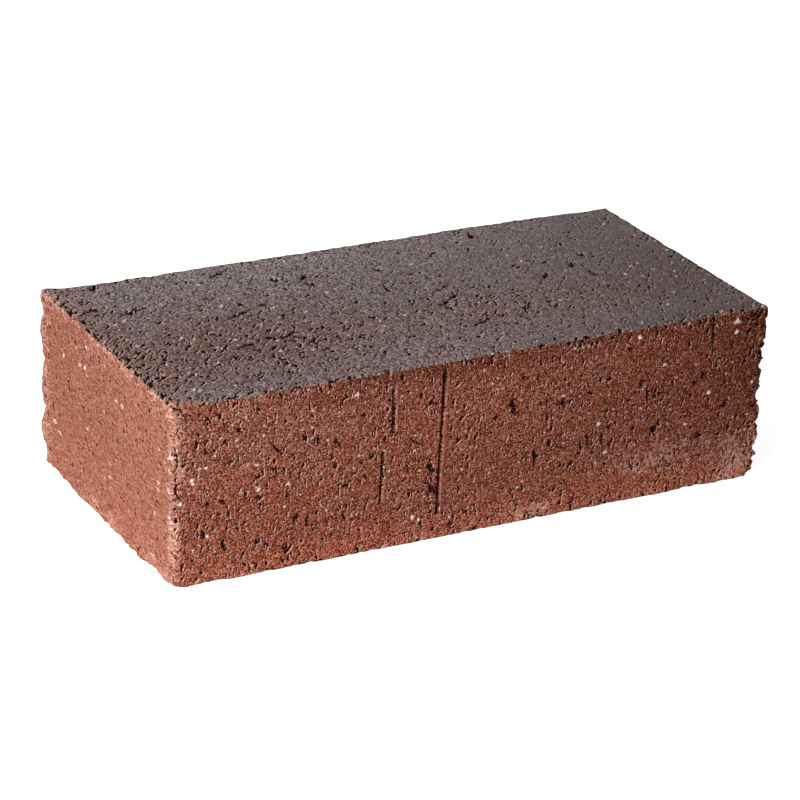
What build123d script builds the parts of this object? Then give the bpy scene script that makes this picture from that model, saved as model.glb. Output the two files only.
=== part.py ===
"""Solid fired-clay paving brick lying on its bed face. Millimetres, +Z up, front stretcher face at -Y."""
import math
import os

from build123d import *

# Overall size of the fired brick
length = 200.0
width = 98.4
height = 57.2

# Radii of the worn edges; the near left upright has taken the most knocks
near_arris = 2.2
upright_arris = 1.2
top_arris = 1.1
bottom_arris = 1.0

# Knocked corners: reach along the length, across the bed and up the height
near_shoulder_break = (13.0, 6.0, 2.6)
back_shoulder_break = (42.0, 2.8, 1.7)
far_foot_break = (3.6, 6.0, 3.6)

# Shell-shaped spall out of the left end's foot
spall_behind_corner = 13.0
spall_radius = 21.0
spall_depth = 1.6

# Score marks dragged down the front stretcher face
score_width = 0.9
score_depth = 1.0
score_draft = 14.0

# Each score: distance from the left end, start below the top face, run, lean in degrees
long_score = (86.6, 2.4, 46.4, -1.6)
upper_score = (70.5, 5.6, 14.1, 2.0)
lower_score = (67.0, 25.5, 16.1, -1.8)


def break_plane(corner, reach):
    """Plane across a corner, facing out of the brick, at the stated reach along each edge."""
    signs = [math.copysign(1.0, at) for at in (corner.X, corner.Y, corner.Z - height / 2)]
    facing = Vector(*[sign / far for sign, far in zip(signs, reach)])
    return Plane(origin=corner - Vector(signs[0] * reach[0], 0, 0), z_dir=facing)


def score_plane(score):
    """Plane on the front face at the middle of a score, turned by its lean."""
    from_end, below_top, run, lean = score
    middle = (from_end - length / 2, -width / 2, height - below_top - run / 2)
    on_face = Plane(origin=middle, x_dir=(1, 0, 0), z_dir=(0, -1, 0))
    return on_face.rotated((0, 0, lean))


with BuildPart() as brick:
    Box(length, width, height, align=(Align.CENTER, Align.CENTER, Align.MIN))

    # Worn edges, uprights first so that the bed edges run round them
    near_to_far = Axis((0, 0, 0), (1, 1, 0))
    other_uprights = brick.edges().filter_by(Axis.Z).sort_by(near_to_far)[1:]
    fillet(other_uprights, upright_arris)
    near_upright = brick.edges().filter_by(Axis.Z).sort_by(near_to_far)[0]
    fillet(near_upright, near_arris)
    fillet(brick.faces().sort_by(Axis.Z)[-1].edges(), top_arris)
    fillet(brick.faces().sort_by(Axis.Z)[0].edges(), bottom_arris)

    # Knocked corners
    near_shoulder = Vector(-length / 2, -width / 2, height)
    back_shoulder = Vector(length / 2, width / 2, height)
    far_foot = Vector(length / 2, -width / 2, 0)
    split(bisect_by=break_plane(near_shoulder, near_shoulder_break), keep=Keep.BOTTOM)
    split(bisect_by=break_plane(back_shoulder, back_shoulder_break), keep=Keep.BOTTOM)
    split(bisect_by=break_plane(far_foot, far_foot_break), keep=Keep.BOTTOM)

    # Spall
    spalled_arris = Vector(-length / 2, spall_behind_corner - width / 2, 0)
    outward = Vector(-1, 0, -1).normalized()
    with Locations(spalled_arris + outward * (spall_radius - spall_depth)):
        Sphere(spall_radius, mode=Mode.SUBTRACT)

    # Score marks, narrowing towards their floor
    for score in (long_score, upper_score, lower_score):
        with BuildSketch(score_plane(score)):
            SlotOverall(score[2], score_width, rotation=90)
        extrude(amount=-score_depth, taper=score_draft, mode=Mode.SUBTRACT)

brick.part.label = "brick"
os.makedirs("parts", exist_ok=True)
export_step(brick.part, "parts/brick.step")
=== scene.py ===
"""A solid fired-clay brick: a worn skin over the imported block, in three clay finishes, on a pale floor."""
import math

import bmesh
import bpy
import numpy as np
from mathutils import Matrix, Vector, noise
from mathutils.bvhtree import BVHTree


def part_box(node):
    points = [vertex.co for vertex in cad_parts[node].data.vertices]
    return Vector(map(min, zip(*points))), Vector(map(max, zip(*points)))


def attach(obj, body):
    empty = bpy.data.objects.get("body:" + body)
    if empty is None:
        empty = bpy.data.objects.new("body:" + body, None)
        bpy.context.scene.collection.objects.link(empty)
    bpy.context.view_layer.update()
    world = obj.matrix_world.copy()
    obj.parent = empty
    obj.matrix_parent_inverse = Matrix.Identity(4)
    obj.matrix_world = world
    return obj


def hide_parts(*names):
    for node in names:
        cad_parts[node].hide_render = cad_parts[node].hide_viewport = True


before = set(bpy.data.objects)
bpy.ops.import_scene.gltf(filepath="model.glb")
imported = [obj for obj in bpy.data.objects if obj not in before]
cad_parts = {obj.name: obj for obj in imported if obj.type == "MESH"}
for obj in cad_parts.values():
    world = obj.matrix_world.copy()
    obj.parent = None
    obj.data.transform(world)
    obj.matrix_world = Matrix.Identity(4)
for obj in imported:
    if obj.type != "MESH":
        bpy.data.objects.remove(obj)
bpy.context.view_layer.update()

# The scene is in metres; the skin, its relief and its marks are worked out in millimetres
MM = 0.001
low, high = (np.array(corner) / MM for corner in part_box("brick"))
LEFT, FRONT, FOOT = low
RIGHT, BACK, TOP = high

# Mesh of the skin
FACE_PITCH = 1.02
ARRIS_PITCH = 0.5
ARRIS_BAND = 5.0
SKIN_ROUND = 1.2
CAST_FROM = 6.0
LINE_STEPS = 4001
MARK_BAND = 1.1
MARK_CUTS = 2

# Relief of each kind of face
BED_ROUGH, STRETCHER_ROUGH, END_ROUGH = 0.11, 0.15, 0.05
LUMP_SIZE = 2.4
BOW_SIZE, BOW_HEIGHT = 34.0, 0.16
DRAG_HEIGHT, DRAG_WIDTH, DRAG_RUN = 0.09, 1.7, 14.0
MOST_PROUD = 0.25

# Arrises by the sides that meet there: reach, how pale they are rubbed and how deep they crumble
ARRISES = [
    ((-1, -1, 0), 3.0, 1.0, 0.4),
    ((1, -1, 0), 2.2, 0.1, 1.2),
    ((-1, 1, 0), 2.4, 0.5, 0.4),
    ((1, 1, 0), 2.2, 0.3, 0.8),
    ((0, -1, 1), 1.6, 0.1, 0.45),
    ((0, 1, 1), 1.6, 0.1, 0.2),
    ((-1, 0, 1), 2.0, 0.9, 0.5),
    ((1, 0, 1), 2.0, 0.1, 0.3),
    ((0, -1, -1), 1.8, 0.35, 0.5),
    ((0, 1, -1), 1.8, 0.3, 0.5),
    ((-1, 0, -1), 2.0, 0.35, 0.4),
    ((1, 0, -1), 1.8, 0.3, 0.5),
]
EDGE_REACH = 2.4
RUB_LENGTH = 9.0
CRUMB_SIZE, CLUSTER_SIZE = 2.0, 6.6
ARRIS_PROUD = 0.6

# The right end stands proud under its top arris, and the near arris is worn rounder towards its top
RIGHT_BROW, RIGHT_BROW_REACH = 0.5, 4.0
NEAR_ROUNDING, NEAR_ROUNDING_REACH = 0.6, 2.6

# Corners worn off: middle, reach along each axis and depth
CORNERS = [
    ((LEFT, BACK, FOOT), (3.0, 14.0, 3.0), 0.9),
    ((LEFT, FRONT + 3.0, FOOT), (2.5, 4.0, 2.5), 1.1),
    ((RIGHT, FRONT, FOOT), (2.5, 4.0, 3.0), 1.2),
]

# Scallops down the back left arris
SCALLOP_PITCH, SCALLOP_PHASE, SCALLOP_HEIGHT, SCALLOP_REACH = 15.5, 4.0, 1.3, 5.0
SCALLOP_SINK = 0.35
NOTCH_UP, NOTCH_HALF, NOTCH_DEPTH = 6.8, 2.0, 0.7

# Score marks down the front face: start and end along the length and up the height, and how dark the shade
# painted in each is
SCORES = [
    ((-12.8, 54.8), (-14.1, 8.4), 1.2),
    ((-29.8, 51.6), (-29.3, 37.5), 0.95),
    ((-32.7, 31.7), (-33.2, 15.6), 1.1),
]
SCORE_HALF = 0.45
LIP_OFFSET, LIP_HALF, LIP_HEIGHT = 1.05, 0.7, 0.3

# Gashes torn in the front face: start, end, half the width and the depth
FRONT_GASHES = [
    ((-17.5, 25), (-15, 21.5), 0.7, 0.8), ((-16.5, 18), (-14.5, 15), 0.6, 0.7),
    ((10.5, 41), (12, 36), 0.75, 0.9), ((4, 35.5), (6, 37), 0.5, 0.5),
    ((19, 24), (19.5, 16.5), 0.4, 0.4), ((-9, 5), (-9, 3), 0.75, 0.7),
    ((58, 37), (58.5, 32.5), 0.45, 0.6), ((60.5, 23.5), (61.5, 21.5), 0.9, 0.9),
    ((77, 17), (79.5, 18), 0.7, 0.8), ((86, 26), (88, 28), 0.7, 0.8),
    ((78, 39.5), (78, 37), 0.6, 0.6), ((80.5, 56), (81.5, 45.5), 0.4, 0.4),
    ((37.5, 25.5), (38, 21), 0.45, 0.5), ((-88, 56), (-88, 54.5), 0.4, 0.5),
    ((-73.5, 53.5), (-73, 51), 0.4, 0.6), ((-79.5, 47.5), (-78.5, 46), 0.35, 0.5),
    ((-90, 43.5), (-89.5, 41.5), 0.35, 0.5), ((-68, 40), (-66, 37.5), 0.4, 0.6),
    ((-67.5, 33.5), (-67, 30.5), 0.3, 0.5), ((-67, 30.5), (-69.5, 29.5), 0.3, 0.4),
    ((-63.5, 25), (-63.5, 22.5), 0.5, 0.7), ((-89, 26.5), (-89, 24.5), 0.55, 0.7),
    ((-85.5, 26.5), (-83.5, 25), 0.45, 0.6), ((-59.5, 17.5), (-61.5, 14.5), 0.5, 0.7),
    ((-57, 16), (-57, 11), 0.3, 0.4), ((-90.5, 17.5), (-89.5, 14.5), 0.45, 0.7),
    ((-84, 13), (-83, 9.5), 0.4, 0.6), ((-54, 41), (-54, 38), 0.35, 0.5),
    ((-73.5, 25.5), (-72, 24.5), 0.4, 0.5), ((-64.5, 7.5), (-63.5, 6), 0.4, 0.5),
    ((-40, 44.5), (-39, 45), 0.5, 0.6), ((-48.5, 39), (-46.5, 36), 0.4, 0.5),
    ((-32, 37), (-32, 35), 0.4, 0.5), ((-23.5, 34.5), (-20, 32), 0.4, 0.6),
    ((-45.5, 23.5), (-44, 23), 0.45, 0.6), ((-20.5, 49), (-20.5, 47), 0.3, 0.5),
    ((-15, 45), (-15.5, 43), 0.3, 0.5), ((-24.5, 27.5), (-24, 23.5), 0.3, 0.5),
    ((14, 49), (14.5, 46.5), 0.35, 0.5), ((19, 48.5), (19.5, 46), 0.45, 0.6),
    ((22.5, 40), (23.5, 28), 0.25, 0.4), ((28, 38), (29, 35.5), 0.45, 0.6),
    ((24, 26), (24, 23.5), 0.4, 0.5), ((26.5, 23), (30, 22), 0.35, 0.5),
    ((50.5, 51.5), (51.5, 50), 0.5, 0.6), ((56, 40.5), (56, 38.5), 0.4, 0.5),
    ((45, 27), (45.5, 25.5), 0.45, 0.6), ((42.5, 24.5), (43, 21.5), 0.3, 0.4),
    ((62, 35), (63, 34), 0.4, 0.5), ((74.5, 36), (77, 35.5), 0.4, 0.5),
    ((91, 56), (91.5, 54), 0.4, 0.6), ((88.5, 47.5), (88.5, 45), 0.35, 0.5),
]

# Gashes torn in the top face: start and end along the length and across the bed, half width and depth
TOP_GASHES = [
    ((7, -9), (16.5, -2), 0.6, 1), ((8.5, -9.5), (10, -14), 0.5, 0.8),
    ((11.5, 2), (18.5, 7), 0.45, 0.7), ((-47.5, 40), (-38.5, 45.5), 0.7, 1),
    ((-86.5, 21), (-76, 25), 0.8, 1.1), ((-96.5, 27), (-89, 30), 1.1, 1.2),
    ((-86, 44.5), (-82, 47), 1.1, 1.2), ((-31.5, 30), (-29, 30.5), 1, 1.1),
    ((-22.5, 22.5), (-20, 23.5), 1, 1.1), ((-23.5, 26), (-19, 31.5), 0.6, 0.9),
    ((-64, -15.5), (-57, -12.5), 0.8, 1), ((-58.5, 6), (-45, 12.5), 0.5, 0.8),
    ((-45, 12.5), (-41, 14), 0.6, 0.8), ((-51, -13.5), (-44.5, -11.5), 0.5, 0.8),
    ((-44.5, -11.5), (-43.5, -16), 0.5, 0.7), ((-59, -36.5), (-55, -38.5), 0.9, 1.1),
    ((46.5, 45), (44.5, 39), 0.7, 1), ((61, 5), (64, 7.5), 0.8, 1),
    ((54, 5.5), (47.5, -1.5), 0.5, 0.8), ((11, -26.5), (17.5, -22.5), 0.5, 0.8),
    ((14.5, 13), (16.5, 13.5), 0.7, 0.9), ((2.5, 28.5), (5, 24.5), 0.6, 0.8),
    ((-0.5, 14.5), (-1.5, 8), 0.5, 0.7), ((29.5, -21.5), (33, -19), 0.7, 0.9),
    ((64.5, -3), (67, -4), 0.7, 0.9), ((69.5, 15), (70.5, 11.5), 0.7, 0.9),
    ((-57, 24), (-54.5, 24.5), 0.7, 0.9),
]

# Grains of grog that stand out of the front face: place and radius
FRONT_GRAINS = [
    ((89.5, 54.2), 0.8), ((89.3, 50.6), 0.5), ((31.6, 54.7), 0.55), ((44.2, 18.2), 0.5),
    ((41.1, 27.8), 0.45), ((54.1, 54.3), 0.45), ((63.8, 44.1), 0.5), ((72.8, 22.5), 0.5),
    ((-20, 7.5), 0.5), ((-93.8, 34), 0.5), ((-97.3, 27.4), 0.5), ((-73, 27.5), 0.6),
    ((-73.6, 35.2), 0.4), ((-63.2, 27.3), 0.5), ((-89.5, 37), 0.45), ((-93.6, 32.9), 0.4),
    ((-77.3, 50.9), 0.35), ((-89, 15.5), 0.4), ((-82.8, 10.8), 0.4), ((-41.7, 51.8), 0.55),
    ((-32.2, 32.1), 0.45), ((-22.1, 8.9), 0.45), ((-9.2, 6.4), 0.5), ((-5.7, 21.2), 0.45),
    ((28.1, 39.4), 0.45), ((34.5, 31.5), 0.4), ((80.6, 31.8), 0.5), ((96.7, 32.8), 0.4),
]

# Grains on the left end, most of them down its near arris: place across and up, and radius
END_GRAINS = [
    ((-47.3, 41.8), 0.95), ((-45.8, 54), 0.7), ((-46.9, 37), 0.6), ((-46.3, 31), 0.6),
    ((-47, 22.5), 0.5), ((-37.1, 20), 0.55), ((-37.5, 55.6), 0.8), ((19, 44.7), 0.6),
    ((15, 45), 0.6), ((31.7, 42.5), 0.5),
]
GRAIN_HEIGHT, GRAIN_CHIP_SIZE = 0.3, 0.9
GASH_RAG_SIZE = 1.6

# Clay laid bare: how deep a knocked corner has to be, and the size of the bits along a brink
BARE_DEPTH, BARE_BIT_SIZE = 0.6, 3.4


def on_front(place):
    """A place on the front face, from its distance along the length and its height."""
    return np.array([place[0], FRONT, place[1]])


def on_top(place):
    """A place on the top face, from its distance along the length and across the bed."""
    return np.array([place[0], place[1], TOP])


def graded_lines(start, end):
    """Grid lines from start to end, closer together beside the two ends."""
    along = np.linspace(start, end, LINE_STEPS)
    from_end = np.minimum(along - start, end - along)
    pitch = ARRIS_PITCH + (FACE_PITCH - ARRIS_PITCH) * np.clip(from_end / ARRIS_BAND, 0, 1)
    passed = np.concatenate([[0], np.cumsum(np.diff(along) / pitch[1:])])
    steps = round(passed[-1])
    return np.interp(np.linspace(0, passed[-1], steps + 1), passed, along)


def box_skin():
    """Points where grid lines cross on the six sides of the block, the quads between and each one's side."""
    lines = [graded_lines(start, end) for start, end in zip(low, high)]
    counts = [len(line) for line in lines]
    surface = np.zeros(counts, bool)
    for axis in range(3):
        np.moveaxis(surface, axis, 0)[[0, -1]] = True
    number = np.cumsum(surface).reshape(counts) - 1
    places = np.nonzero(surface)
    points = np.column_stack([line[place] for line, place in zip(lines, places)])
    quads, sides = [], []
    for side in range(6):
        axis, end = divmod(side, 2)
        sheet = np.moveaxis(number, axis, 0)[-end]
        corners = [sheet[:-1, :-1], sheet[1:, :-1], sheet[1:, 1:], sheet[:-1, 1:]]
        outward = (end == 1) != (axis == 1)
        rings = np.stack(corners if outward else corners[::-1], axis=-1).reshape(-1, 4)
        quads.append(rings)
        sides.append(np.full(len(rings), side))
    return points, np.concatenate(quads), np.concatenate(sides)


def along_segment(points, start, end):
    """How far along a segment each point lies, from 0 to 1."""
    run = end - start
    return np.clip((points - start) @ run / (run @ run), 0, 1)


def from_segment(points, start, end):
    """Distance of each point from a segment."""
    nearest = start + along_segment(points, start, end)[:, None] * (end - start)
    return np.linalg.norm(points - nearest, axis=1)


def all_gashes():
    """Every gash as its start, end, half width and depth."""
    placed = [(on_front(start), on_front(end), half, depth) for start, end, half, depth in FRONT_GASHES]
    placed += [(on_top(start), on_top(end), half, depth) for start, end, half, depth in TOP_GASHES]
    return placed


def all_grains():
    """Every grain as its place and radius."""
    placed = [(on_front(place), radius) for place, radius in FRONT_GRAINS]
    placed += [(np.array([LEFT, *place]), radius) for place, radius in END_GRAINS]
    return placed


def near_marks(centres):
    """Which quads lie on a score, a gash or a grain, and so are cut finer."""
    near = np.zeros(len(centres), bool)
    for start, end, _ in SCORES:
        near |= from_segment(centres, on_front(start), on_front(end)) < MARK_BAND + LIP_OFFSET
    for start, end, half, _ in all_gashes():
        near |= from_segment(centres, start, end) < MARK_BAND + half
    for place, radius in all_grains():
        near |= np.linalg.norm(centres - place, axis=1) < MARK_BAND + radius
    return near


def fine_skin():
    """The skin as a bmesh, with smaller faces along the marks and the side of each face kept in a layer."""
    points, quads, sides = box_skin()
    sheet = bpy.data.meshes.new("skin")
    sheet.from_pydata(points.tolist(), [], quads.tolist())
    skin = bmesh.new()
    skin.from_mesh(sheet)
    bpy.data.meshes.remove(sheet)
    side_layer = skin.faces.layers.int.new("side")
    for face, side in zip(skin.faces, sides.tolist()):
        face[side_layer] = side
    near = near_marks(points[quads].mean(axis=1))
    edges = {edge for face, chosen in zip(skin.faces, near) if chosen for edge in face.edges}
    bmesh.ops.subdivide_edges(skin, edges=list(edges), cuts=MARK_CUTS, use_grid_fill=True)
    return skin


def on_block(points):
    """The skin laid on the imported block: where each point lands, the way it faces and how far it sinks."""
    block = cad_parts["brick"].data
    corners = [vertex.co for vertex in block.vertices]
    tree = BVHTree.FromPolygons(corners, [polygon.vertices[:] for polygon in block.polygons])
    core = np.clip(points, low + SKIN_ROUND, high - SKIN_ROUND)
    facing = points - core
    facing /= np.linalg.norm(facing, axis=1, keepdims=True)
    starts = (core + facing * CAST_FROM) * MM
    landed = [tree.ray_cast(start, way)[0] for start, way in zip(starts.tolist(), (-facing).tolist())]
    landed = np.array(landed) / MM
    sink = SKIN_ROUND - np.sum((landed - core) * facing, axis=1)
    return landed, facing, sink


def lumps(points, size, octaves=3, drift=0.0, smooth=1.0):
    """Fractal noise of about -1 to 1 at the points, with lumps of the stated size."""
    places = (points / size + drift).tolist()
    return np.array([noise.fractal(place, smooth, 2.0, octaves) for place in places])


def fade(distance, reach):
    """1 at no distance, falling away to 0 past the reach."""
    return np.exp(-((distance / reach) ** 2))


def ramp(value, start, end):
    """0 before the start, 1 past the end and even between them."""
    return np.clip((value - start) / (end - start), 0, 1)


def arris_fade(points, sides, reach):
    """1 on an arris, given by the sides that meet there, falling away to 0 beside it."""
    share = np.ones(len(points))
    for axis, side in enumerate(sides):
        if side:
            share *= fade(points[:, axis] - (low[axis] if side < 0 else high[axis]), reach)
    return share


def worn_skin(points, facing, sink):
    """Height of the skin off the block at each point, and the masks that the finishes read."""
    end_share, stretcher_share, bed_share = (facing**2).T
    rough = BED_ROUGH * bed_share + STRETCHER_ROUGH * stretcher_share + END_ROUGH * end_share
    height = rough * lumps(points, LUMP_SIZE) + BOW_HEIGHT * lumps(points, BOW_SIZE, drift=7.3)

    # Upright drag of the stretcher faces
    dragged = points / np.array([DRAG_WIDTH, DRAG_WIDTH, DRAG_RUN])
    height += DRAG_HEIGHT * stretcher_share * lumps(dragged, 1.0, drift=3.1)

    # Arrises: rubbed pale in stretches, and crumbled in lumps
    wear, crumble, brink, edge = np.zeros((4, len(points)))
    for sides, reach, pale, deep in ARRISES:
        beside = arris_fade(points, sides, reach)
        wear = np.maximum(wear, pale * beside)
        crumble = np.maximum(crumble, deep * beside)
        edge = np.maximum(edge, arris_fade(points, sides, EDGE_REACH))
        if sides[2]:
            brink = np.maximum(brink, beside)
    wear *= np.clip(0.75 + 0.9 * lumps(points, RUB_LENGTH, drift=4.4), 0.2, 1)
    crumbs = 0.8 * lumps(points, CRUMB_SIZE, drift=11.7, smooth=0.3)
    crumbs += 1.4 * lumps(points, CLUSTER_SIZE, drift=8.2, smooth=0.7)
    height -= crumble * np.clip(1.2 * crumbs + 0.15, -0.6, 1)

    # Corners worn off, the brow of the right end and the rounding of the near arris
    for middle, reach, depth in CORNERS:
        aside = (points - np.array(middle)) / np.array(reach)
        height -= depth * np.exp(-np.sum(aside**2, axis=1))
    height += RIGHT_BROW * arris_fade(points, (1, 0, 1), RIGHT_BROW_REACH)
    height -= NEAR_ROUNDING * (points[:, 2] / TOP) * arris_fade(points, (-1, -1, 0), NEAR_ROUNDING_REACH)

    # Scallops down the back left arris
    beside_scallops = arris_fade(points, (-1, 1, 0), SCALLOP_REACH)
    bulge = np.sqrt(np.abs(np.sin(np.pi * (points[:, 2] - SCALLOP_PHASE) / SCALLOP_PITCH)))
    notch = fade(points[:, 2] - NOTCH_UP, NOTCH_HALF)
    height += (SCALLOP_HEIGHT * (bulge - SCALLOP_SINK) - NOTCH_DEPTH * notch) * beside_scallops

    # Scores, with a lip of clay pushed up beside each
    mark, lip, grog = np.zeros((3, len(points)))
    aside = np.array([LIP_OFFSET, 0, 0])
    for start, end, painted_shade in SCORES:
        start, end = on_front(start), on_front(end)
        inside = from_segment(points, start, end) / SCORE_HALF
        mark = np.maximum(mark, painted_shade * np.clip(1.5 - inside, 0, 1))
        beside = from_segment(points, start + aside, end + aside) / LIP_HALF
        lip = np.maximum(lip, np.clip(1.2 - beside, 0, 1))
    height += LIP_HEIGHT * lip

    # Gashes, ragged along their sides and drawn out thin at both ends
    ragged = np.clip(1 + 1.2 * lumps(points, GASH_RAG_SIZE, drift=5.9), 0.3, 2)
    for start, end, half, depth in all_gashes():
        drawn_out = 1.3 - 0.8 * (2 * along_segment(points, start, end) - 1) ** 2
        inside = np.clip(1.4 - from_segment(points, start, end) / (half * drawn_out * ragged), 0, 1)
        height -= depth * inside
        mark = np.maximum(mark, np.clip(inside * 1.4, 0, 1))

    # Grains of grog
    chipped = np.clip(1 + 1.2 * lumps(points, GRAIN_CHIP_SIZE, drift=1.3), 0.3, 2)
    for place, radius in all_grains():
        inside = np.clip(1.3 - np.linalg.norm(points - place, axis=1) / (radius * chipped), 0, 1)
        height += GRAIN_HEIGHT * inside
        grog = np.maximum(grog, np.clip(inside * 2, 0, 1))

    # Nothing stands far out of the block, and the foot stays flat
    most = MOST_PROUD + ARRIS_PROUD * np.clip(crumble, 0, 1) + SCALLOP_HEIGHT * beside_scallops
    height = np.minimum(height, most)
    height = np.where(facing[:, 2] < -0.5, np.minimum(height, 0), height)

    # Clay laid bare where a corner is knocked off, and in bits along the brink of a bed
    bits = np.clip(1.7 * lumps(points, BARE_BIT_SIZE, drift=2.2) + 0.1, 0, 1)
    bare = np.maximum(ramp(sink, 0, BARE_DEPTH) * (bed_share > 0.2), 0.9 * brink * bits)

    masks = {"wear": wear, "mark": mark, "lip": lip, "grog": grog, "bare": bare, "edge": edge}
    return height, masks


# Soft patches of shade: strength, middle and reach, along the length and up a side or across a bed
SHOULDER_SCORCH = (0.8, (-95.5, 54.0), (4.0, 1.6))
CORNER_SCORCH = (1.4, (RIGHT, TOP), (11, 12))
MAUVE_PATCHES = [(1.0, (-78, 50), (48, 15)), (0.5, (25, 40), (30, 22))]
BROWN_PATCHES = [(1.0, (-66, -14), (44, 26)), (0.65, (38, -18), (52, 18))]
# Painted shade on the near corners of the bed, and painted light along its back
PAINTED_SHADE_PATCHES = [(0.65, (-66, -20), (38, 32)), (1.0, (104, -16), (36, 50)), (0.7, (76, FRONT), (54, 10))]
PAINTED_LIGHT_PATCH = (1.0, (2, 48), (80, 24))
STRETCHER_BLOOM = [(0.5, (62, 13), (20, 6)), (1.0, (92, 8), (7, 7)), (0.55, (18, 3), (11, 3))]
CORNER_BLOOM = (0.7, (LEFT, BACK), (4, 6))

# Bloom on the ends, across the bed and up the height
END_BLOOM = [(1.2, (BACK - 1.5, up), (3.5, 2.6)) for up in (5, 12, 21, 32)]
END_BLOOM += [(1.1, (across, 2.5), (4.0, 3.0)) for across in (-44, -35, -5, 9)]

# How far a face's own margin reaches in from its arrises
FACE_MARGIN = 3


def shade(across, up, *patches):
    """Soft oval patches added up."""
    total = np.zeros(len(across))
    for strength, middle, reach in patches:
        total += strength * fade(across - middle[0], reach[0]) * fade(up - middle[1], reach[1])
    return total


def kiln_shades(points):
    """Masks of the broad shades on the faces: most left by the kiln and the stack, some painted shade and
    painted light.
    """
    along, across, up = points.T
    on_end = np.abs(along) > RIGHT - FACE_MARGIN
    on_stretcher = np.abs(across) > BACK - FACE_MARGIN

    # Scorched under the top arris and beside the right arris, less so towards the foot, with painted shade
    # too: darker towards the right, where the light falls off
    off_the_foot = ramp(up, 6, 32)
    scorch_and_shade = np.maximum.reduce([
        0.65 * fade(TOP - up, 6.5) * ramp(along, -75, -45),
        0.7 * fade(RIGHT - along, 26.0) * off_the_foot,
        # Painted shade where the light falls off towards the right
        0.55 * ramp(along, 10, 85) * off_the_foot,
        fade(RIGHT - along, 2.6) * ramp(up, 14, 24),
        shade(along, up, SHOULDER_SCORCH),
        np.minimum(shade(along, up, CORNER_SCORCH), 1),
    ])

    # Pale bloom low on the right of the stretcher, and round the margins of the ends
    from_margin = np.minimum(BACK - np.abs(across), np.minimum(up - FOOT, TOP - up))
    bloom = np.maximum.reduce([
        shade(along, up, *STRETCHER_BLOOM) * on_stretcher,
        0.2 * fade(from_margin, 8.0) * on_end,
        shade(along, across, CORNER_BLOOM),
        *[on_end * shade(across, up, patch) for patch in END_BLOOM],
    ])

    return {
        "scorch_and_shade": scorch_and_shade,
        "bloom": bloom,
        "mauve": shade(along, up, *MAUVE_PATCHES),
        "brown": shade(along, across, *BROWN_PATCHES) + 0.8 * fade(along - LEFT, 9.0),
        "bed_painted_shade": shade(along, across, *PAINTED_SHADE_PATCHES),
        "bed_painted_light": shade(along, across, PAINTED_LIGHT_PATCH),
        # Lighter towards the foot
        "lighter_foot": np.where(on_end, 0.6 * fade(up, 20.0), fade(up, 8.0)),
        "haze": ramp(along, -10, 80),
    }


# Where each side lies on the flat map of the skin: left, right, front, back, foot, top
MAP_SIZE = 320.0
MAP_GAP = 2.0
MAP_PLACES = [
    (204.0, 0.0), (204.0, 102.0), (0.0, 204.0),
    (0.0, 264.0), (0.0, 0.0), (0.0, 102.0),
]


def flat_map(skin, points, side_layer):
    """Unfolds the skin side by side, so that the finishes can be put on a flat picture."""
    layer = skin.loops.layers.uv.new("OFBake")
    for face in skin.faces:
        side = face[side_layer]
        axis = side // 2
        across, up = ((2, 1), (0, 2), (0, 1))[axis]
        start_across, start_up = MAP_PLACES[side]
        for loop in face.loops:
            place = points[loop.vert.index]
            loop[layer].uv = (
                (start_across + MAP_GAP + place[across] - low[across]) / MAP_SIZE,
                (start_up + MAP_GAP + place[up] - low[up]) / MAP_SIZE,
            )


def build_brick():
    """The brick's whole skin as one closed mesh."""
    skin = fine_skin()
    skin.verts.index_update()
    side_layer = skin.faces.layers.int["side"]
    points = np.array([vertex.co for vertex in skin.verts])
    flat_map(skin, points.tolist(), side_layer)
    landed, facing, sink = on_block(points)
    height, masks = worn_skin(points, facing, sink)
    masks.update(kiln_shades(points))
    worn = (landed + facing * height[:, None]) * MM
    for vertex, place in zip(skin.verts, worn.tolist()):
        vertex.co = place
    for face in skin.faces:
        face.material_index = face[side_layer] // 2
        face.smooth = True
    mesh = bpy.data.meshes.new("fired_brick")
    skin.to_mesh(mesh)
    skin.free()
    mesh.attributes.remove(mesh.attributes["side"])
    for name, values in masks.items():
        mesh.attributes.new(name, "FLOAT", "POINT").data.foreach_set("value", values.astype(np.float32))
    brick = bpy.data.objects.new("fired_brick", mesh)
    bpy.context.scene.collection.objects.link(brick)
    return brick


# Small helpers for shader trees
def add_node(tree, kind, inputs=(), **settings):
    """A node with its settings; each input is linked to a socket or set to a value."""
    made = tree.nodes.new("ShaderNode" + kind)
    for name, value in settings.items():
        setattr(made, name, value)
    for key, value in dict(inputs).items():
        if isinstance(value, bpy.types.NodeSocket):
            tree.links.new(value, made.inputs[key])
        else:
            made.inputs[key].default_value = value
    return made


def maths(tree, operation, *values):
    """A sum of sockets and numbers."""
    return add_node(tree, "Math", dict(enumerate(values)), operation=operation).outputs[0]


def scaled(tree, value, by, plus=0.0):
    """A value times a second, plus a third."""
    return maths(tree, "MULTIPLY_ADD", value, by, plus)


def vectors(tree, operation, first, second):
    """A sum of two vectors, or a vector scaled by a number."""
    key = "Scale" if operation == "SCALE" else 1
    return add_node(tree, "VectorMath", {0: first, key: second}, operation=operation).outputs[0]


def blend(tree, share, first, second, kind="MIX"):
    """A colour between two colours, or with MULTIPLY the first one tinted by the second."""
    inputs = {0: share, 6: first, 7: second}
    return add_node(tree, "Mix", inputs, data_type="RGBA", blend_type=kind).outputs[2]


def ease(tree, value, start, end):
    """0 at start, 1 at end and smooth between them."""
    inputs = {"Value": value, "From Min": start, "From Max": end}
    return add_node(tree, "MapRange", inputs, interpolation_type="SMOOTHSTEP").outputs[0]


def either(tree, *masks):
    """The stronger of several masks."""
    joined = masks[0]
    for mask in masks[1:]:
        joined = maths(tree, "MAXIMUM", joined, mask)
    return joined


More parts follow.
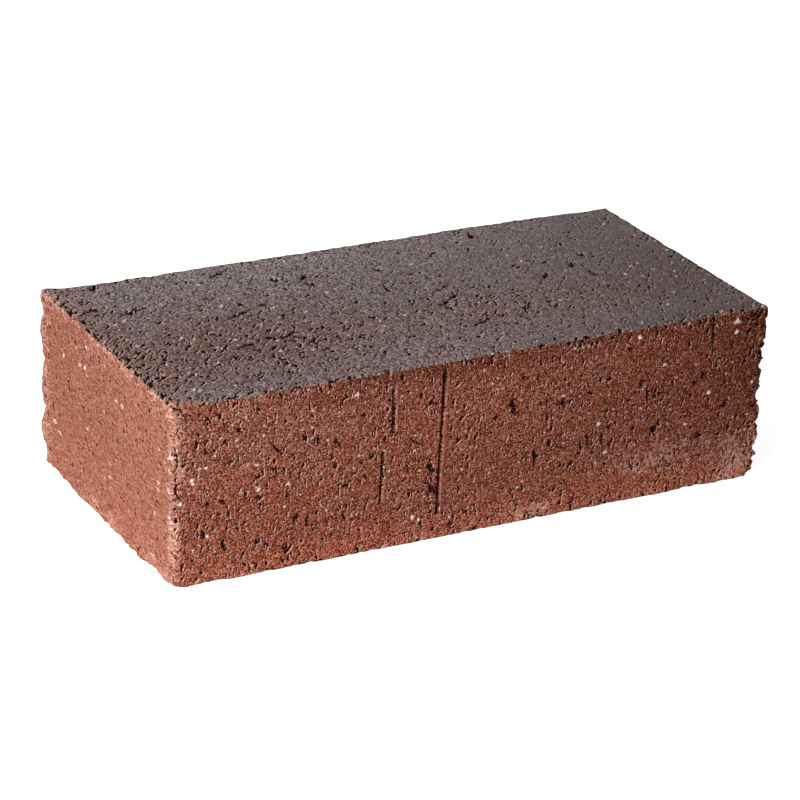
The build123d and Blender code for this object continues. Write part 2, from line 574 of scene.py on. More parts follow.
def read_mask(tree, name):
    """A mask painted on the skin."""
    return add_node(tree, "Attribute", attribute_name=name).outputs["Fac"]


ORIGIN = (0.0, 0.0, 0.0)
BLACK = (0.0, 0.0, 0.0, 1.0)
SOCKET_KINDS = {1: "Float", 3: "Vector", 4: "Color"}


def new_group(name, inputs, outputs):
    """A node group with its named sockets, and the sockets to read and write inside it."""
    tree = bpy.data.node_groups.new(name, "ShaderNodeTree")
    for socket, value in inputs.items():
        kind = "NodeSocket" + SOCKET_KINDS[np.size(value)]
        tree.interface.new_socket(socket, in_out="INPUT", socket_type=kind).default_value = value
    for socket, kind in outputs.items():
        tree.interface.new_socket(socket, in_out="OUTPUT", socket_type="NodeSocket" + kind)
    start = tree.nodes.new("NodeGroupInput").outputs
    end = tree.nodes.new("NodeGroupOutput").inputs
    return tree, start, end


def put_out(tree, end, **outputs):
    """Links what a group has worked out to its outputs."""
    for name, socket in outputs.items():
        tree.links.new(socket, end[name])


def add_group(tree, name, inputs):
    """Places a node group in a material, with its own values, and gives its outputs."""
    return add_node(tree, "Group", inputs, node_tree=bpy.data.node_groups[name]).outputs


def noise_at(tree, place, size, detail=3.0, roughness=0.6, output="Fac"):
    """Noise with features of the stated size in millimetres."""
    scale = maths(tree, "DIVIDE", 1.0, size)
    inputs = {"Vector": place, "Scale": scale, "Detail": detail, "Roughness": roughness}
    return add_node(tree, "TexNoise", inputs, noise_dimensions="2D").outputs[output]


def shaken(tree, place, size, reach):
    """The place moved about a little, so that what is laid on it comes out ragged."""
    shake = noise_at(tree, place, size, detail=1.0, roughness=0.5, output="Color")
    centred = vectors(tree, "SUBTRACT", shake, (0.5, 0.5, 0.5))
    return vectors(tree, "ADD", place, vectors(tree, "SCALE", centred, reach))


def ragged_cells(tree, place, spacing, wobble, fineness, measure="EUCLIDEAN"):
    """Cells with ragged borders: how far a place is from its cell's middle, and the cell's random draws."""
    shake_size = maths(tree, "DIVIDE", spacing, fineness)
    moved = shaken(tree, place, shake_size, scaled(tree, spacing, wobble))
    inputs = {"Vector": moved, "Scale": maths(tree, "DIVIDE", 1.0, spacing)}
    cell = add_node(tree, "TexVoronoi", inputs, voronoi_dimensions="2D", distance=measure).outputs
    draws = add_node(tree, "SeparateColor", {"Color": cell["Color"]}).outputs
    return cell["Distance"], draws


def clay_grain_group():
    """Sandy clay: grains from dark through middle to light, some of an odd colour, and their height."""
    tree, start, end = new_group(
        "Clay grain",
        {"Place": ORIGIN, "Size": 0.45, "Dark": BLACK, "Middle": BLACK, "Light": BLACK, "Odd": BLACK},
        {"Colour": "Color", "Height": "Float"},
    )
    draws = ragged_cells(tree, start["Place"], start["Size"], wobble=0.4, fineness=3.0)[1]
    cloud = noise_at(tree, start["Place"], scaled(tree, start["Size"], 3.0), detail=2.0)
    tone = maths(tree, "ADD", draws["Red"], scaled(tree, cloud, 0.1, -0.05))
    odd = scaled(tree, ease(tree, draws["Green"], 0.7, 0.85), 0.6)
    body = blend(tree, odd, start["Middle"], start["Odd"])
    dark_half = blend(tree, ease(tree, tone, 0.08, 0.45), start["Dark"], body)
    colour = blend(tree, ease(tree, tone, 0.55, 0.92), dark_half, start["Light"])
    put_out(tree, end, Colour=colour, Height=tone)


def sandy_group():
    """Sandy relief: grains that stand up as small domes of unlike height."""
    tree, start, end = new_group(
        "Sandy relief",
        {"Place": ORIGIN, "Size": 0.85},
        {"Height": "Float"},
    )
    distance, draws = ragged_cells(tree, start["Place"], start["Size"], wobble=0.5, fineness=3.0)
    dome = maths(tree, "SUBTRACT", 0.8, maths(tree, "MULTIPLY", distance, distance))
    tall = maths(tree, "ADD", 0.3, draws["Red"])
    put_out(tree, end, Height=scaled(tree, dome, tall, draws["Green"]))


def flecks_group():
    """Scattered angular flecks of grog: a mask of them and a chance for each fleck."""
    tree, start, end = new_group(
        "Flecks",
        {"Place": ORIGIN, "Spacing": 2.0, "Share": 0.2, "Size": 0.2},
        {"Mask": "Float", "Chance": "Float"},
    )
    shape = {"wobble": 0.9, "fineness": 5.0, "measure": "MANHATTAN"}
    distance, draws = ragged_cells(tree, start["Place"], start["Spacing"], **shape)
    kept = maths(tree, "LESS_THAN", draws["Red"], start["Share"])
    spread = scaled(tree, maths(tree, "POWER", draws["Green"], 2.0), 1.1, 0.5)
    radius = scaled(tree, start["Size"], spread)
    fleck = ease(tree, distance, radius, scaled(tree, radius, 0.9))
    put_out(tree, end, Mask=scaled(tree, kept, fleck), Chance=draws["Blue"])


def pits_group():
    """Torn pits of ragged shape: a mask of them, and one that runs down to them from around."""
    tree, start, end = new_group(
        "Torn pits",
        {"Place": ORIGIN, "Size": 1.5, "Share": 0.3},
        {"Mask": "Float", "Around": "Float"},
    )
    rim, run_down = 0.015, 0.06
    cloud = noise_at(tree, start["Place"], start["Size"], detail=2.0, roughness=0.5)
    edge = maths(tree, "SUBTRACT", 1.0, start["Share"])
    pit = ease(tree, cloud, edge, maths(tree, "ADD", edge, rim))
    around = ease(tree, cloud, maths(tree, "SUBTRACT", edge, run_down), edge)
    put_out(tree, end, Mask=pit, Around=around)


def cracks_group():
    """Short angular tears along the borders of ragged cells, which swell in some patches and taper out."""
    tree, start, end = new_group(
        "Cracks",
        {"Place": ORIGIN, "Size": 3.0, "Width": 0.3, "Share": 0.4},
        {"Mask": "Float", "Around": "Float"},
    )
    rim, run_down, taper, thin = 0.02, 0.35, 0.1, 0.1
    moved = shaken(tree, start["Place"], size=0.9, reach=1.4)
    inputs = {"Vector": moved, "Scale": maths(tree, "DIVIDE", 1.0, start["Size"])}
    cell = add_node(tree, "TexVoronoi", inputs, voronoi_dimensions="2D", feature="DISTANCE_TO_EDGE")
    aside = scaled(tree, cell.outputs["Distance"], start["Size"])
    elsewhere = vectors(tree, "ADD", start["Place"], (37.0, 53.0, 0.0))
    patches = noise_at(tree, elsewhere, scaled(tree, start["Size"], 0.8), roughness=0.65)
    edge = maths(tree, "SUBTRACT", 1.0, start["Share"])
    swell = scaled(tree, ease(tree, patches, edge, maths(tree, "ADD", edge, taper)), start["Width"])
    inside = maths(tree, "SUBTRACT", swell, aside)
    around = scaled(tree, ease(tree, inside, -run_down, 0.0), ease(tree, swell, 0.0, thin))
    put_out(tree, end, Mask=ease(tree, inside, -rim, 0.05), Around=around)


def mottle_group():
    """Soft patches that come and go over the face."""
    tree, start, end = new_group(
        "Mottle",
        {"Place": ORIGIN, "Size": 20.0, "Low": 0.35, "High": 0.65},
        {"Share": "Float"},
    )
    patches = noise_at(tree, start["Place"], start["Size"], detail=4.0, roughness=0.65)
    put_out(tree, end, Share=ease(tree, patches, start["Low"], start["High"]))


def rubbed_group():
    """Pale crumbs on what is rubbed: the harder the rub, the more of the grains are pale."""
    tree, start, end = new_group(
        "Rubbed pale",
        {"Place": ORIGIN, "Rub": 0.0, "Size": 0.9},
        {"Share": "Float"},
    )
    draws = ragged_cells(tree, start["Place"], start["Size"], wobble=0.8, fineness=3.0)[1]
    cloud = noise_at(tree, start["Place"], scaled(tree, start["Size"], 3.5), detail=2.0)
    chance = scaled(tree, draws["Red"], 0.5, scaled(tree, cloud, 0.6))
    rubbed = scaled(tree, start["Rub"], 0.6, chance)
    share = scaled(tree, ease(tree, rubbed, 0.72, 0.95), ease(tree, start["Rub"], 0.03, 0.25))
    put_out(tree, end, Share=share)


def torn_group():
    """A gash broken up by the grain: a mask for shade painted where it is deep, with bare clay beside it."""
    tree, start, end = new_group(
        "Torn mark",
        {"Place": ORIGIN, "Mark": 0.0, "Break": 1.2},
        {"Dark": "Float", "Bare": "Float"},
    )
    cloud = noise_at(tree, start["Place"], 0.6, detail=2.0)
    broken = scaled(tree, maths(tree, "SUBTRACT", cloud, 0.5), start["Break"], start["Mark"])
    some = ease(tree, start["Mark"], 0.05, 0.2)
    painted_shade = scaled(tree, some, ease(tree, broken, 0.55, 0.75))
    bare = scaled(tree, some, ease(tree, broken, 0.15, 0.5))
    put_out(tree, end, Dark=painted_shade, Bare=bare)


for make_group in (
    clay_grain_group,
    sandy_group,
    flecks_group,
    pits_group,
    cracks_group,
    mottle_group,
    rubbed_group,
    torn_group,
):
    make_group()

# Colours of dust, of grog and of clay laid bare
DUST_COLOUR = (0.72, 0.42, 0.34, 1.0)
DUST_SHADE = (0.30, 0.12, 0.08, 1.0)
GROG_COLOUR = (0.66, 0.36, 0.28, 1.0)
WHITE_GROG = (1.0, 0.80, 0.69, 1.0)
BARE_CLAY = (0.44, 0.17, 0.115, 1.0)
BARE_SHADE = (0.11, 0.03, 0.017, 1.0)
SHEEN = 0.0

# The far twin of a face takes its chance patterns from another place
FAR_SIDE_SHIFT = 500.0

# From a torn bit to the wall of it that the light strikes, where a highlight is painted, and the size of the
# stretches that it strikes
WALL_SHIFT = (0.34, -0.26, 0.0)
STRUCK_SIZE = 1.1


def new_finish(name, across, up, through):
    """An empty material with its tree and the place on the face in millimetres."""
    material = bpy.data.materials.new(name)
    material.use_nodes = True
    tree = material.node_tree
    tree.nodes.clear()
    place = add_node(tree, "TexCoord").outputs["Object"]
    parts = add_node(tree, "SeparateXYZ", {0: vectors(tree, "SCALE", place, 1 / MM)}).outputs
    middle = (low + high)["XYZ".index(through)] / 2
    far = maths(tree, "GREATER_THAN", parts[through], middle)
    shifted = scaled(tree, far, FAR_SIDE_SHIFT, parts[across])
    flat = add_node(tree, "CombineXYZ", {"X": shifted, "Y": parts[up]}).outputs[0]
    return material, tree, flat


def stretched(tree, place, turn, stretch):
    """The flat place turned and squeezed, so that what is laid on it comes out long."""
    inputs = {"Vector": place, "Rotation": (0.0, 0.0, turn), "Scale": (*stretch, 1.0)}
    return add_node(tree, "Mapping", inputs, vector_type="TEXTURE").outputs[0]


def close_finish(tree, colour, height, roughness):
    """Joins colour, height in millimetres and roughness to the shader."""
    bump = add_node(tree, "Bump", {"Height": height, "Strength": 1.0, "Distance": MM})
    inputs = {
        "Base Color": colour,
        "Roughness": roughness,
        "Normal": bump.outputs[0],
        "Specular IOR Level": SHEEN,
    }
    surface = add_node(tree, "BsdfPrincipled", inputs)
    add_node(tree, "OutputMaterial", {"Surface": surface.outputs[0]})


def mottled(tree, place, size, low_end=0.35, high_end=0.65):
    """How far a place lies in soft patches of the stated size."""
    inputs = {"Place": place, "Size": size, "Low": low_end, "High": high_end}
    return add_group(tree, "Mottle", inputs)["Share"]


def flecked(tree, place, spacing, size, share):
    """Flecks of grog at the stated spacing, size and share."""
    return add_group(tree, "Flecks", {"Place": place, "Spacing": spacing, "Size": size, "Share": share})


def less(tree, height, mask, depth):
    """A height lowered where the mask is."""
    return scaled(tree, mask, -depth, height)


def rub_pale(tree, colour, clay, place, rub, strength):
    """Pale dust on the rubbed grains, which keep their light and dark."""
    rubbed = add_group(tree, "Rubbed pale", {"Place": place, "Rub": rub})
    dusty = blend(tree, ease(tree, clay["Height"], 0.0, 0.9), DUST_SHADE, DUST_COLOUR)
    return blend(tree, scaled(tree, rubbed["Share"], strength), colour, dusty)


def torn_bits(tree, place, drag, pits, tears, specks):
    """Pits, tears and specks drawn out along the drag of a face, and the slope down to them."""
    along_drag = stretched(tree, place, *drag)
    pitted = add_group(tree, "Torn pits", {"Place": along_drag, **pits})
    cracked = add_group(tree, "Cracks", {"Place": along_drag, **tears})
    specked = flecked(tree, along_drag, **specks)
    sunk = either(tree, pitted["Mask"], cracked["Mask"], specked["Mask"])
    slope = either(tree, pitted["Around"], cracked["Around"])
    return sunk, slope


def torn_face(tree, place, *torn):
    """The torn bits of a face, the slope down to them, and a mask for the highlight painted on the wall of
    each that the light strikes.
    """
    sunk, slope = torn_bits(tree, place, *torn)
    beside = torn_bits(tree, vectors(tree, "SUBTRACT", place, WALL_SHIFT), *torn)[0]
    lit_wall = maths(tree, "MAXIMUM", maths(tree, "SUBTRACT", beside, sunk), 0.0)
    struck = ease(tree, noise_at(tree, place, STRUCK_SIZE, detail=1.0), 0.32, 0.46)
    return sunk, slope, scaled(tree, lit_wall, struck)


# Smooth end: its clay, tints, painted highlights and painted shade, torn bits, and how strongly each shows
END_CLAY = {
    "Size": 0.36,
    "Dark": (0.215, 0.065, 0.035, 1),
    "Middle": (0.340, 0.131, 0.087, 1),
    "Light": (0.49, 0.225, 0.165, 1),
    "Odd": (0.36, 0.12, 0.065, 1),
}
END_PATCH = (0.33, 0.11, 0.066, 1)
END_FOOT_LIGHTENING = (1.35, 1.3, 1.28, 1)
END_PAINTED_WALL_HIGHLIGHT = (0.70, 0.40, 0.31, 1)
END_PAINTED_PIT_SHADE = (0.07, 0.011, 0.004, 1)
END_LEVEL = (0.0, (2.0, 1.0))
END_DRAG = (0.0, (1.4, 1.0))
END_PITS = {"Size": 1.9, "Share": 0.305}
END_TEARS = {"Size": 2.5, "Width": 0.42, "Share": 0.37}
END_SPECKS = {"spacing": 1.5, "size": 0.32, "share": 0.22}
END_PATCH_SIZE, END_PATCH_SHARE = 26.0, 0.2
END_DUST, END_WALL_HIGHLIGHT_SHARE, END_FLECK_SHARE, END_PIT_SHADE_SHARE = 0.6, 0.6, 0.9, 0.9
END_FLECK_SPACING, END_FLECK_SIZE = 2.2, 0.23
END_GRAIN_HEIGHT, END_TEAR_DEPTH = 0.03, 0.12
END_ROUGHNESS = 0.9


def smooth_end():
    """Orange-red end face: fine, lightly pitted and flecked."""
    material, tree, place = new_finish("smooth_end", "Y", "Z", "X")
    level = stretched(tree, place, *END_LEVEL)
    clay = add_group(tree, "Clay grain", {"Place": level, **END_CLAY})
    patches = scaled(tree, mottled(tree, place, END_PATCH_SIZE), END_PATCH_SHARE)
    colour = blend(tree, patches, clay["Colour"], END_PATCH)

    # Rubbed, and lighter towards the foot
    rub = either(tree, read_mask(tree, "wear"), read_mask(tree, "bloom"))
    colour = rub_pale(tree, colour, clay, place, rub, END_DUST)
    colour = blend(tree, read_mask(tree, "lighter_foot"), colour, END_FOOT_LIGHTENING, "MULTIPLY")

    # Torn, with a highlight painted on the wall of each torn bit that faces the light, and flecked most
    # along its arrises
    sunk, slope, lit_wall = torn_face(tree, place, END_DRAG, END_PITS, END_TEARS, END_SPECKS)
    colour = blend(tree, scaled(tree, lit_wall, END_WALL_HIGHLIGHT_SHARE), colour, END_PAINTED_WALL_HIGHLIGHT)
    fleck_share = scaled(tree, read_mask(tree, "edge"), 0.3, 0.1)
    flecks = flecked(tree, level, END_FLECK_SPACING, END_FLECK_SIZE, fleck_share)
    pale = either(tree, scaled(tree, flecks["Mask"], END_FLECK_SHARE), read_mask(tree, "grog"))
    colour = blend(tree, pale, colour, blend(tree, flecks["Chance"], GROG_COLOUR, WHITE_GROG))
    # Shade painted in the pits, tears and specks
    colour = blend(tree, scaled(tree, sunk, END_PIT_SHADE_SHARE), colour, END_PAINTED_PIT_SHADE)

    height = scaled(tree, clay["Height"], END_GRAIN_HEIGHT)
    height = less(tree, height, slope, END_TEAR_DEPTH)
    close_finish(tree, colour, height, END_ROUGHNESS)
    return material


# Dragged stretcher: its clay, tints, painted highlights and painted shade, torn bits, and how strongly each
# shows
STRETCHER_CLAY = {
    "Size": 0.28,
    "Dark": (0.055, 0.005, 0.001, 1),
    "Middle": (0.212, 0.049, 0.022, 1),
    "Light": (0.58, 0.21, 0.135, 1),
    "Odd": (0.25, 0.082, 0.054, 1),
}
STRETCHER_MAUVE = (1.0, 1.2, 1.4, 1)
STRETCHER_LIP_PALE_AND_HIGHLIGHT = (0.50, 0.21, 0.15, 1)
STRETCHER_SCORCH_AND_SHADE = (0.33, 0.21, 0.15, 1)
STRETCHER_FOOT_LIGHTENING = (1.55, 1.5, 1.48, 1)
STRETCHER_PAINTED_WALL_HIGHLIGHT = (0.92, 0.48, 0.36, 1)
STRETCHER_PAINTED_PIT_SHADE = (0.012, 0.002, 0.0015, 1)
STRETCHER_DRAG = (0.0, (1.0, 1.6))
STRETCHER_SPECKS = {"spacing": 1.0, "size": 0.23, "share": 0.34}
STRETCHER_PIT_SIZE, STRETCHER_TEAR_SIZE, STRETCHER_TEAR_WIDTH = 1.6, 2.7, 0.46
STRETCHER_PATCH_SIZE, STRETCHER_DAB_SIZE, STRETCHER_TORN_SIZE = 16.0, 3.6, 13.0
STRETCHER_MAUVE_SHARE, STRETCHER_BLOOM_SHARE, STRETCHER_DUST, STRETCHER_LIP_HIGHLIGHT_SHARE = 0.7, 0.9, 0.7, 0.5
STRETCHER_SCORCH_SHADE_CLOUD = 6.0
STRETCHER_BREAK, STRETCHER_PIT_SHADE_SHARE = 3.0, 0.97
STRETCHER_SAND_SIZE, STRETCHER_SAND_HEIGHT = 0.5, 0.06
STRETCHER_CRUMB_SIZE, STRETCHER_CRUMB_HEIGHT = 1.0, 0.1
STRETCHER_TEAR_DEPTH, STRETCHER_FLECK_HEIGHT = 0.25, 0.12
STRETCHER_ROUGHNESS = 0.95


def dragged_stretcher():
    """Red-brown stretcher face: sandy, dragged upright, pitted, cracked and flecked with grog."""
    material, tree, place = new_finish("dragged_stretcher", "X", "Z", "Y")
    clay = add_group(tree, "Clay grain", {"Place": place, **STRETCHER_CLAY})
    mauve = scaled(tree, mottled(tree, place, STRETCHER_PATCH_SIZE), 0.35, read_mask(tree, "mauve"))
    mauve = scaled(tree, mottled(tree, place, STRETCHER_DAB_SIZE, 0.45, 0.7), 0.25, mauve)
    mauve = scaled(tree, mauve, STRETCHER_MAUVE_SHARE)
    colour = blend(tree, mauve, clay["Colour"], STRETCHER_MAUVE, "MULTIPLY")

    # Rubbed, and pale on the lips of the scores, partly a highlight painted on the side of each score that
    # faces the light
    bloom = scaled(tree, read_mask(tree, "bloom"), STRETCHER_BLOOM_SHARE)
    rub = either(tree, read_mask(tree, "wear"), bloom)
    colour = rub_pale(tree, colour, clay, place, rub, STRETCHER_DUST)
    colour = blend(tree, scaled(tree, read_mask(tree, "lip"), STRETCHER_LIP_HIGHLIGHT_SHARE), colour, STRETCHER_LIP_PALE_AND_HIGHLIGHT)

    # Scorched, with painted shade darker towards the right, and lighter towards the foot
    scorch_and_shade = read_mask(tree, "scorch_and_shade")
    cloud = ease(tree, noise_at(tree, place, STRETCHER_SCORCH_SHADE_CLOUD), 0.2, 0.5)
    colour = blend(tree, scaled(tree, scorch_and_shade, cloud), colour, STRETCHER_SCORCH_AND_SHADE, "MULTIPLY")
    colour = blend(tree, read_mask(tree, "lighter_foot"), colour, STRETCHER_FOOT_LIGHTENING, "MULTIPLY")

    # Torn, most in patches and along its arrises, with a highlight painted on the wall of each torn bit that
    # faces the light, less of it where the face is scorched and shaded
    torn_share = scaled(tree, read_mask(tree, "edge"), 0.5, mottled(tree, place, STRETCHER_TORN_SIZE))
    pits = {"Size": STRETCHER_PIT_SIZE, "Share": scaled(tree, torn_share, 0.07, 0.265)}
    tear_share = scaled(tree, torn_share, 0.1, 0.355)
    tears = {"Size": STRETCHER_TEAR_SIZE, "Width": STRETCHER_TEAR_WIDTH, "Share": tear_share}
    sunk, slope, lit_wall = torn_face(tree, place, STRETCHER_DRAG, pits, tears, STRETCHER_SPECKS)
    colour = blend(tree, scaled(tree, lit_wall, scaled(tree, scorch_and_shade, -0.4, 0.88)), colour, STRETCHER_PAINTED_WALL_HIGHLIGHT)

    # Pink and white grog, and shade painted in the pits, tears, specks and marks
    pink = flecked(tree, place, spacing=1.0, size=0.2, share=scaled(tree, scorch_and_shade, 0.2, 0.2))
    colour = blend(tree, pink["Mask"], colour, GROG_COLOUR)
    white = flecked(tree, place, spacing=1.7, size=0.18, share=scaled(tree, torn_share, 0.18, 0.12))
    pale = either(tree, white["Mask"], read_mask(tree, "grog"))
    colour = blend(tree, pale, colour, WHITE_GROG)
    mark = {"Place": place, "Mark": read_mask(tree, "mark"), "Break": STRETCHER_BREAK}
    pit_shade = either(tree, sunk, add_group(tree, "Torn mark", mark)["Dark"])
    colour = blend(tree, scaled(tree, pit_shade, STRETCHER_PIT_SHADE_SHARE), colour, STRETCHER_PAINTED_PIT_SHADE)

    sand = add_group(tree, "Sandy relief", {"Place": place, "Size": STRETCHER_SAND_SIZE})
    crumbs = noise_at(tree, place, STRETCHER_CRUMB_SIZE, detail=2.0)
    height = scaled(tree, sand["Height"], STRETCHER_SAND_HEIGHT)
    height = scaled(tree, crumbs, STRETCHER_CRUMB_HEIGHT, height)
    height = less(tree, height, slope, STRETCHER_TEAR_DEPTH)
    height = scaled(tree, pale, STRETCHER_FLECK_HEIGHT, height)
    close_finish(tree, colour, height, STRETCHER_ROUGHNESS)
    return material


# Flashed bed: its clay, tints, painted light and painted shade, torn bits, and how strongly each shows
BED_CLAY = {
    "Size": 0.38,
    "Dark": (0.085, 0.068, 0.069, 1),
    "Middle": (0.206, 0.174, 0.178, 1),
    "Light": (0.37, 0.326, 0.332, 1),
    "Odd": (0.20, 0.14, 0.132, 1),
}
BED_BROWN = (0.95, 0.67, 0.57, 1)
BED_PAINTED_SHADE_TINT = (0.74, 0.72, 0.71, 1)
BED_PAINTED_LIGHT_TINT = (1.22, 1.22, 1.23, 1)
BED_SLOPE = (0.22, 0.105, 0.08, 1)
BED_PAINTED_WALL_HIGHLIGHT = (0.62, 0.44, 0.40, 1)
BED_GROG = (0.46, 0.31, 0.28, 1)
BED_PAINTED_PIT_SHADE = (0.006, 0.003, 0.002, 1)
BED_LEVEL = (0.0, (1.0, 2.0))
BED_DRAG = (math.radians(48), (2.1, 1.0))
BED_SPECKS = {"spacing": 1.2, "size": 0.25, "share": 0.2}
BED_PIT_SIZE, BED_TEAR_SIZE, BED_TEAR_WIDTH = 1.7, 2.6, 0.44
BED_PATCH_SIZE, BED_DAB_SIZE = 11.0, 3.2
BED_HAZE_SHARE, BED_BROWN_SHARE, BED_DUST = 0.45, 0.7, 0.6
BED_CRUMB_SIZE = 1.6
BED_BREAK, BED_BARE_SHARE = 2.4, 0.3
BED_SLOPE_SHARE, BED_WALL_HIGHLIGHT_SHARE, BED_PIT_SHADE_SHARE = 0.42, 0.75, 0.98
BED_FLECK_SHARE, BED_RED_SHARE = 0.95, 0.8
BED_GRAIN_HEIGHT, BED_TEAR_DEPTH = 0.04, 0.25
BED_ROUGHNESS = 0.9


def flashed_bed():
    """Bed face flashed grey-brown in the kiln, torn along the drag, with red clay at bare corners."""
    material, tree, place = new_finish("flashed_bed", "X", "Y", "Z")
    level = stretched(tree, place, *BED_LEVEL)
    clay = add_group(tree, "Clay grain", {"Place": level, **BED_CLAY})

    # Grey, brown in patches, with painted shade at the near corners and painted light along the back
    haze = read_mask(tree, "haze")
    grey = blend(tree, scaled(tree, haze, BED_HAZE_SHARE), clay["Colour"], BED_CLAY["Middle"])
    brown = scaled(tree, mottled(tree, place, BED_PATCH_SIZE, 0.36, 0.64), 0.35, read_mask(tree, "brown"))
    brown = scaled(tree, mottled(tree, place, BED_DAB_SIZE, 0.5, 0.7), 0.5, brown)
    colour = blend(tree, scaled(tree, brown, BED_BROWN_SHARE), grey, BED_BROWN, "MULTIPLY")
    colour = blend(tree, read_mask(tree, "bed_painted_shade"), colour, BED_PAINTED_SHADE_TINT, "MULTIPLY")
    colour = blend(tree, read_mask(tree, "bed_painted_light"), colour, BED_PAINTED_LIGHT_TINT, "MULTIPLY")

    # Red clay laid bare beside the marks and along the brinks, and rubbed arrises
    mark = {"Place": place, "Mark": read_mask(tree, "mark"), "Break": BED_BREAK}
    marks = add_group(tree, "Torn mark", mark)
    crumbled = maths(tree, "SUBTRACT", noise_at(tree, place, BED_CRUMB_SIZE), 0.5)
    ragged_bare = scaled(tree, crumbled, 1.5, read_mask(tree, "bare"))
    bare = either(tree, scaled(tree, marks["Bare"], BED_BARE_SHARE), ease(tree, ragged_bare, 0.3, 0.42))
    bare_clay = blend(tree, ease(tree, clay["Height"], 0.0, 0.9), BARE_SHADE, BARE_CLAY)
    colour = blend(tree, bare, colour, bare_clay)
    colour = rub_pale(tree, colour, clay, place, read_mask(tree, "wear"), BED_DUST)

    # Torn, most where it is brown and along its arrises, with a highlight painted on the wall of each torn
    # bit that faces the light
    torn_share = maths(tree, "ADD", brown, read_mask(tree, "edge"))
    torn_share = scaled(tree, haze, -0.2, torn_share)
    pits = {"Size": BED_PIT_SIZE, "Share": scaled(tree, torn_share, 0.06, 0.275)}
    tear_share = scaled(tree, torn_share, 0.09, 0.355)
    tears = {"Size": BED_TEAR_SIZE, "Width": BED_TEAR_WIDTH, "Share": tear_share}
    sunk, slope, lit_wall = torn_face(tree, place, BED_DRAG, pits, tears, BED_SPECKS)
    colour = blend(tree, scaled(tree, slope, BED_SLOPE_SHARE), colour, BED_SLOPE)
    colour = blend(tree, scaled(tree, lit_wall, BED_WALL_HIGHLIGHT_SHARE), colour, BED_PAINTED_WALL_HIGHLIGHT)

    # Pale and red grog, and shade painted in the pits, tears, specks and marks
    along_drag = stretched(tree, place, *BED_DRAG)
    fleck_share = scaled(tree, torn_share, 0.18, 0.05)
    flecks = flecked(tree, along_drag, spacing=1.7, size=0.22, share=fleck_share)
    fleck_colour = blend(tree, flecks["Chance"], BED_GROG, WHITE_GROG)
    colour = blend(tree, scaled(tree, flecks["Mask"], BED_FLECK_SHARE), colour, fleck_colour)
    red = flecked(tree, place, spacing=1.3, size=0.3, share=scaled(tree, torn_share, 0.26, 0.04))
    colour = blend(tree, scaled(tree, red["Mask"], BED_RED_SHARE), colour, BARE_CLAY)
    pit_shade = either(tree, sunk, marks["Dark"])
    colour = blend(tree, scaled(tree, pit_shade, BED_PIT_SHADE_SHARE), colour, BED_PAINTED_PIT_SHADE)

    height = scaled(tree, clay["Height"], BED_GRAIN_HEIGHT)
    height = less(tree, height, slope, BED_TEAR_DEPTH)
    close_finish(tree, colour, height, BED_ROUGHNESS)
    return material


brick = build_brick()
for finish in (smooth_end, dragged_stretcher, flashed_bed):
    brick.data.materials.append(finish())
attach(brick, "root")
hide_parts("brick")

# Pale floor that keeps the brick's shadow
FLOOR_HALF = 6.0
FLOOR_COLOUR = (0.85, 0.85, 0.85, 1.0)
FLOOR_GLOW = 0.87


def straight_seen(tree):
    """1 for what the camera sees, also in a gloss or through a clear body."""
    path = add_node(tree, "LightPath").outputs
    return either(tree, path["Is Camera Ray"], path["Is Glossy Ray"], path["Is Transmission Ray"])


def build_floor():
    """A wide pale floor, brightened to white for the camera."""
    sheet = bpy.data.meshes.new("floor")
    corners = [(x, y, 0) for x, y in ((-1, -1), (1, -1), (1, 1), (-1, 1))]
    sheet.from_pydata(corners, [], [(0, 1, 2, 3)])
    floor = bpy.data.objects.new("floor", sheet)
    floor.scale = (FLOOR_HALF, FLOOR_HALF, 1)
    bpy.context.scene.collection.objects.link(floor)
    material = bpy.data.materials.new("pale_floor")
    material.use_nodes = True
    tree = material.node_tree
    tree.nodes.clear()
    seen = straight_seen(tree)
    matte = add_node(tree, "BsdfDiffuse", {"Color": FLOOR_COLOUR})
    glow = add_node(tree, "Emission", {"Strength": maths(tree, "MULTIPLY", seen, FLOOR_GLOW)})
    both = add_node(tree, "AddShader", {0: matte.outputs[0], 1: glow.outputs[0]})
    add_node(tree, "OutputMaterial", {"Surface": both.outputs[0]})
    sheet.materials.append(material)


WORLD_FILL = 0.175


def build_world():
    """A white backdrop for the camera, and an even fill of light."""
    world = bpy.data.worlds.new("studio")
    bpy.context.scene.world = world
    world.use_nodes = True
    tree = world.node_tree
    tree.nodes.clear()
    seen = straight_seen(tree)
    fill = add_node(tree, "Background", {"Strength": WORLD_FILL})
    backdrop = add_node(tree, "Background", {"Strength": 1.0})
    both = add_node(tree, "MixShader", {0: seen, 1: fill.outputs[0], 2: backdrop.outputs[0]})
    add_node(tree, "OutputWorld", {"Surface": both.outputs[0]})


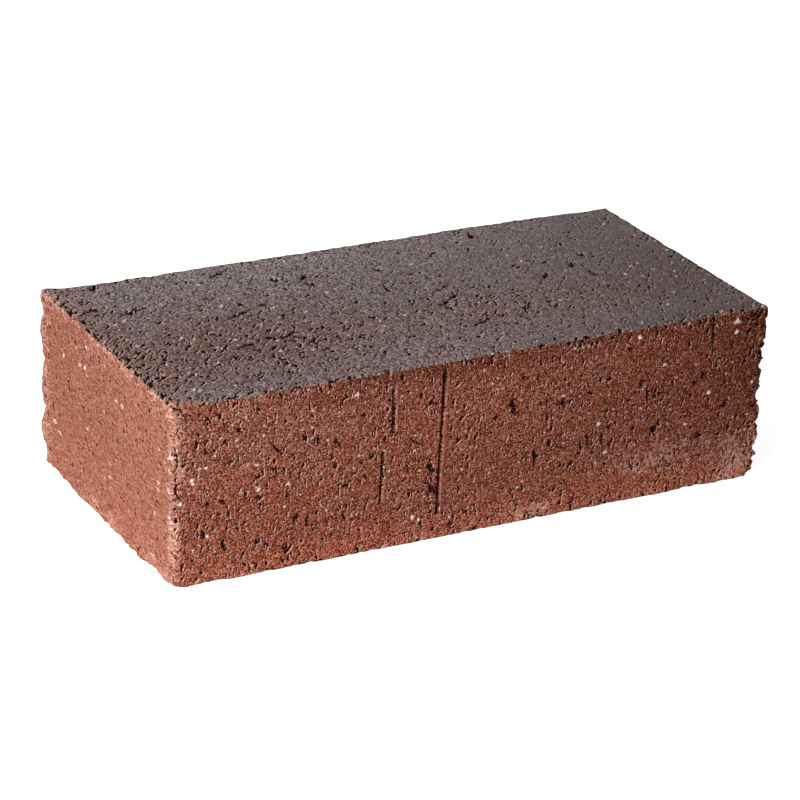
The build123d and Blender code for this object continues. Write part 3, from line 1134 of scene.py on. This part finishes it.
KEY_PLACE, KEY_AIM = Vector((-0.48, -0.33, 0.36)), Vector((-0.05, -0.02, 0.03))
KEY_SIZE, KEY_POWER = 0.35, 4.2
BACK_PLACE, BACK_AIM = Vector((-0.45, 0.7, 0.75)), Vector((-0.02, 0.0, 0.05))
BACK_SIZE, BACK_POWER = 0.6, 4.35


def add_lamp(name, place, aim, size, power):
    """A square soft lamp that looks at a point."""
    light = bpy.data.lights.new(name, "AREA")
    light.size = size
    light.energy = power
    lamp = bpy.data.objects.new(name, light)
    lamp.location = place
    lamp.rotation_mode = "QUATERNION"
    lamp.rotation_quaternion = (aim - place).to_track_quat("-Z", "Y")
    bpy.context.scene.collection.objects.link(lamp)


# Camera at the photograph's viewing angle
IMAGE_SIZE = 800
FOCAL_PX = 3156.0
SENSOR = 36.0
AZIMUTH, ELEVATION, ROLL = math.radians(-28.526), math.radians(23.041), math.radians(2.099)
DISTANCE = 0.980
CENTRE_PX = (403.1, 384.8)


def add_camera():
    """The camera, shifted a little so that the brick's middle falls on its place in the picture."""
    back = Vector((
        math.sin(AZIMUTH) * math.cos(ELEVATION),
        -math.cos(AZIMUTH) * math.cos(ELEVATION),
        math.sin(ELEVATION),
    ))
    right = Vector((math.cos(AZIMUTH), math.sin(AZIMUTH), 0))
    level = Matrix((right, back.cross(right), back)).transposed()
    turn = level @ Matrix.Rotation(ROLL, 3, "Z")
    data = bpy.data.cameras.new("camera")
    data.sensor_width = SENSOR
    data.lens = SENSOR * FOCAL_PX / IMAGE_SIZE
    data.shift_x = (IMAGE_SIZE / 2 - CENTRE_PX[0]) / IMAGE_SIZE
    data.shift_y = (CENTRE_PX[1] - IMAGE_SIZE / 2) / IMAGE_SIZE
    camera = bpy.data.objects.new("camera", data)
    middle = Vector((low + high) / 2 * MM)
    camera.matrix_world = Matrix.Translation(middle + back * DISTANCE) @ turn.to_4x4()
    bpy.context.scene.collection.objects.link(camera)
    bpy.context.scene.camera = camera


build_floor()
build_world()
add_lamp("key", KEY_PLACE, KEY_AIM, KEY_SIZE, KEY_POWER)
add_lamp("back", BACK_PLACE, BACK_AIM, BACK_SIZE, BACK_POWER)
add_camera()
bpy.context.scene.view_settings.view_transform = "Standard"

bpy.context.view_layer.update()
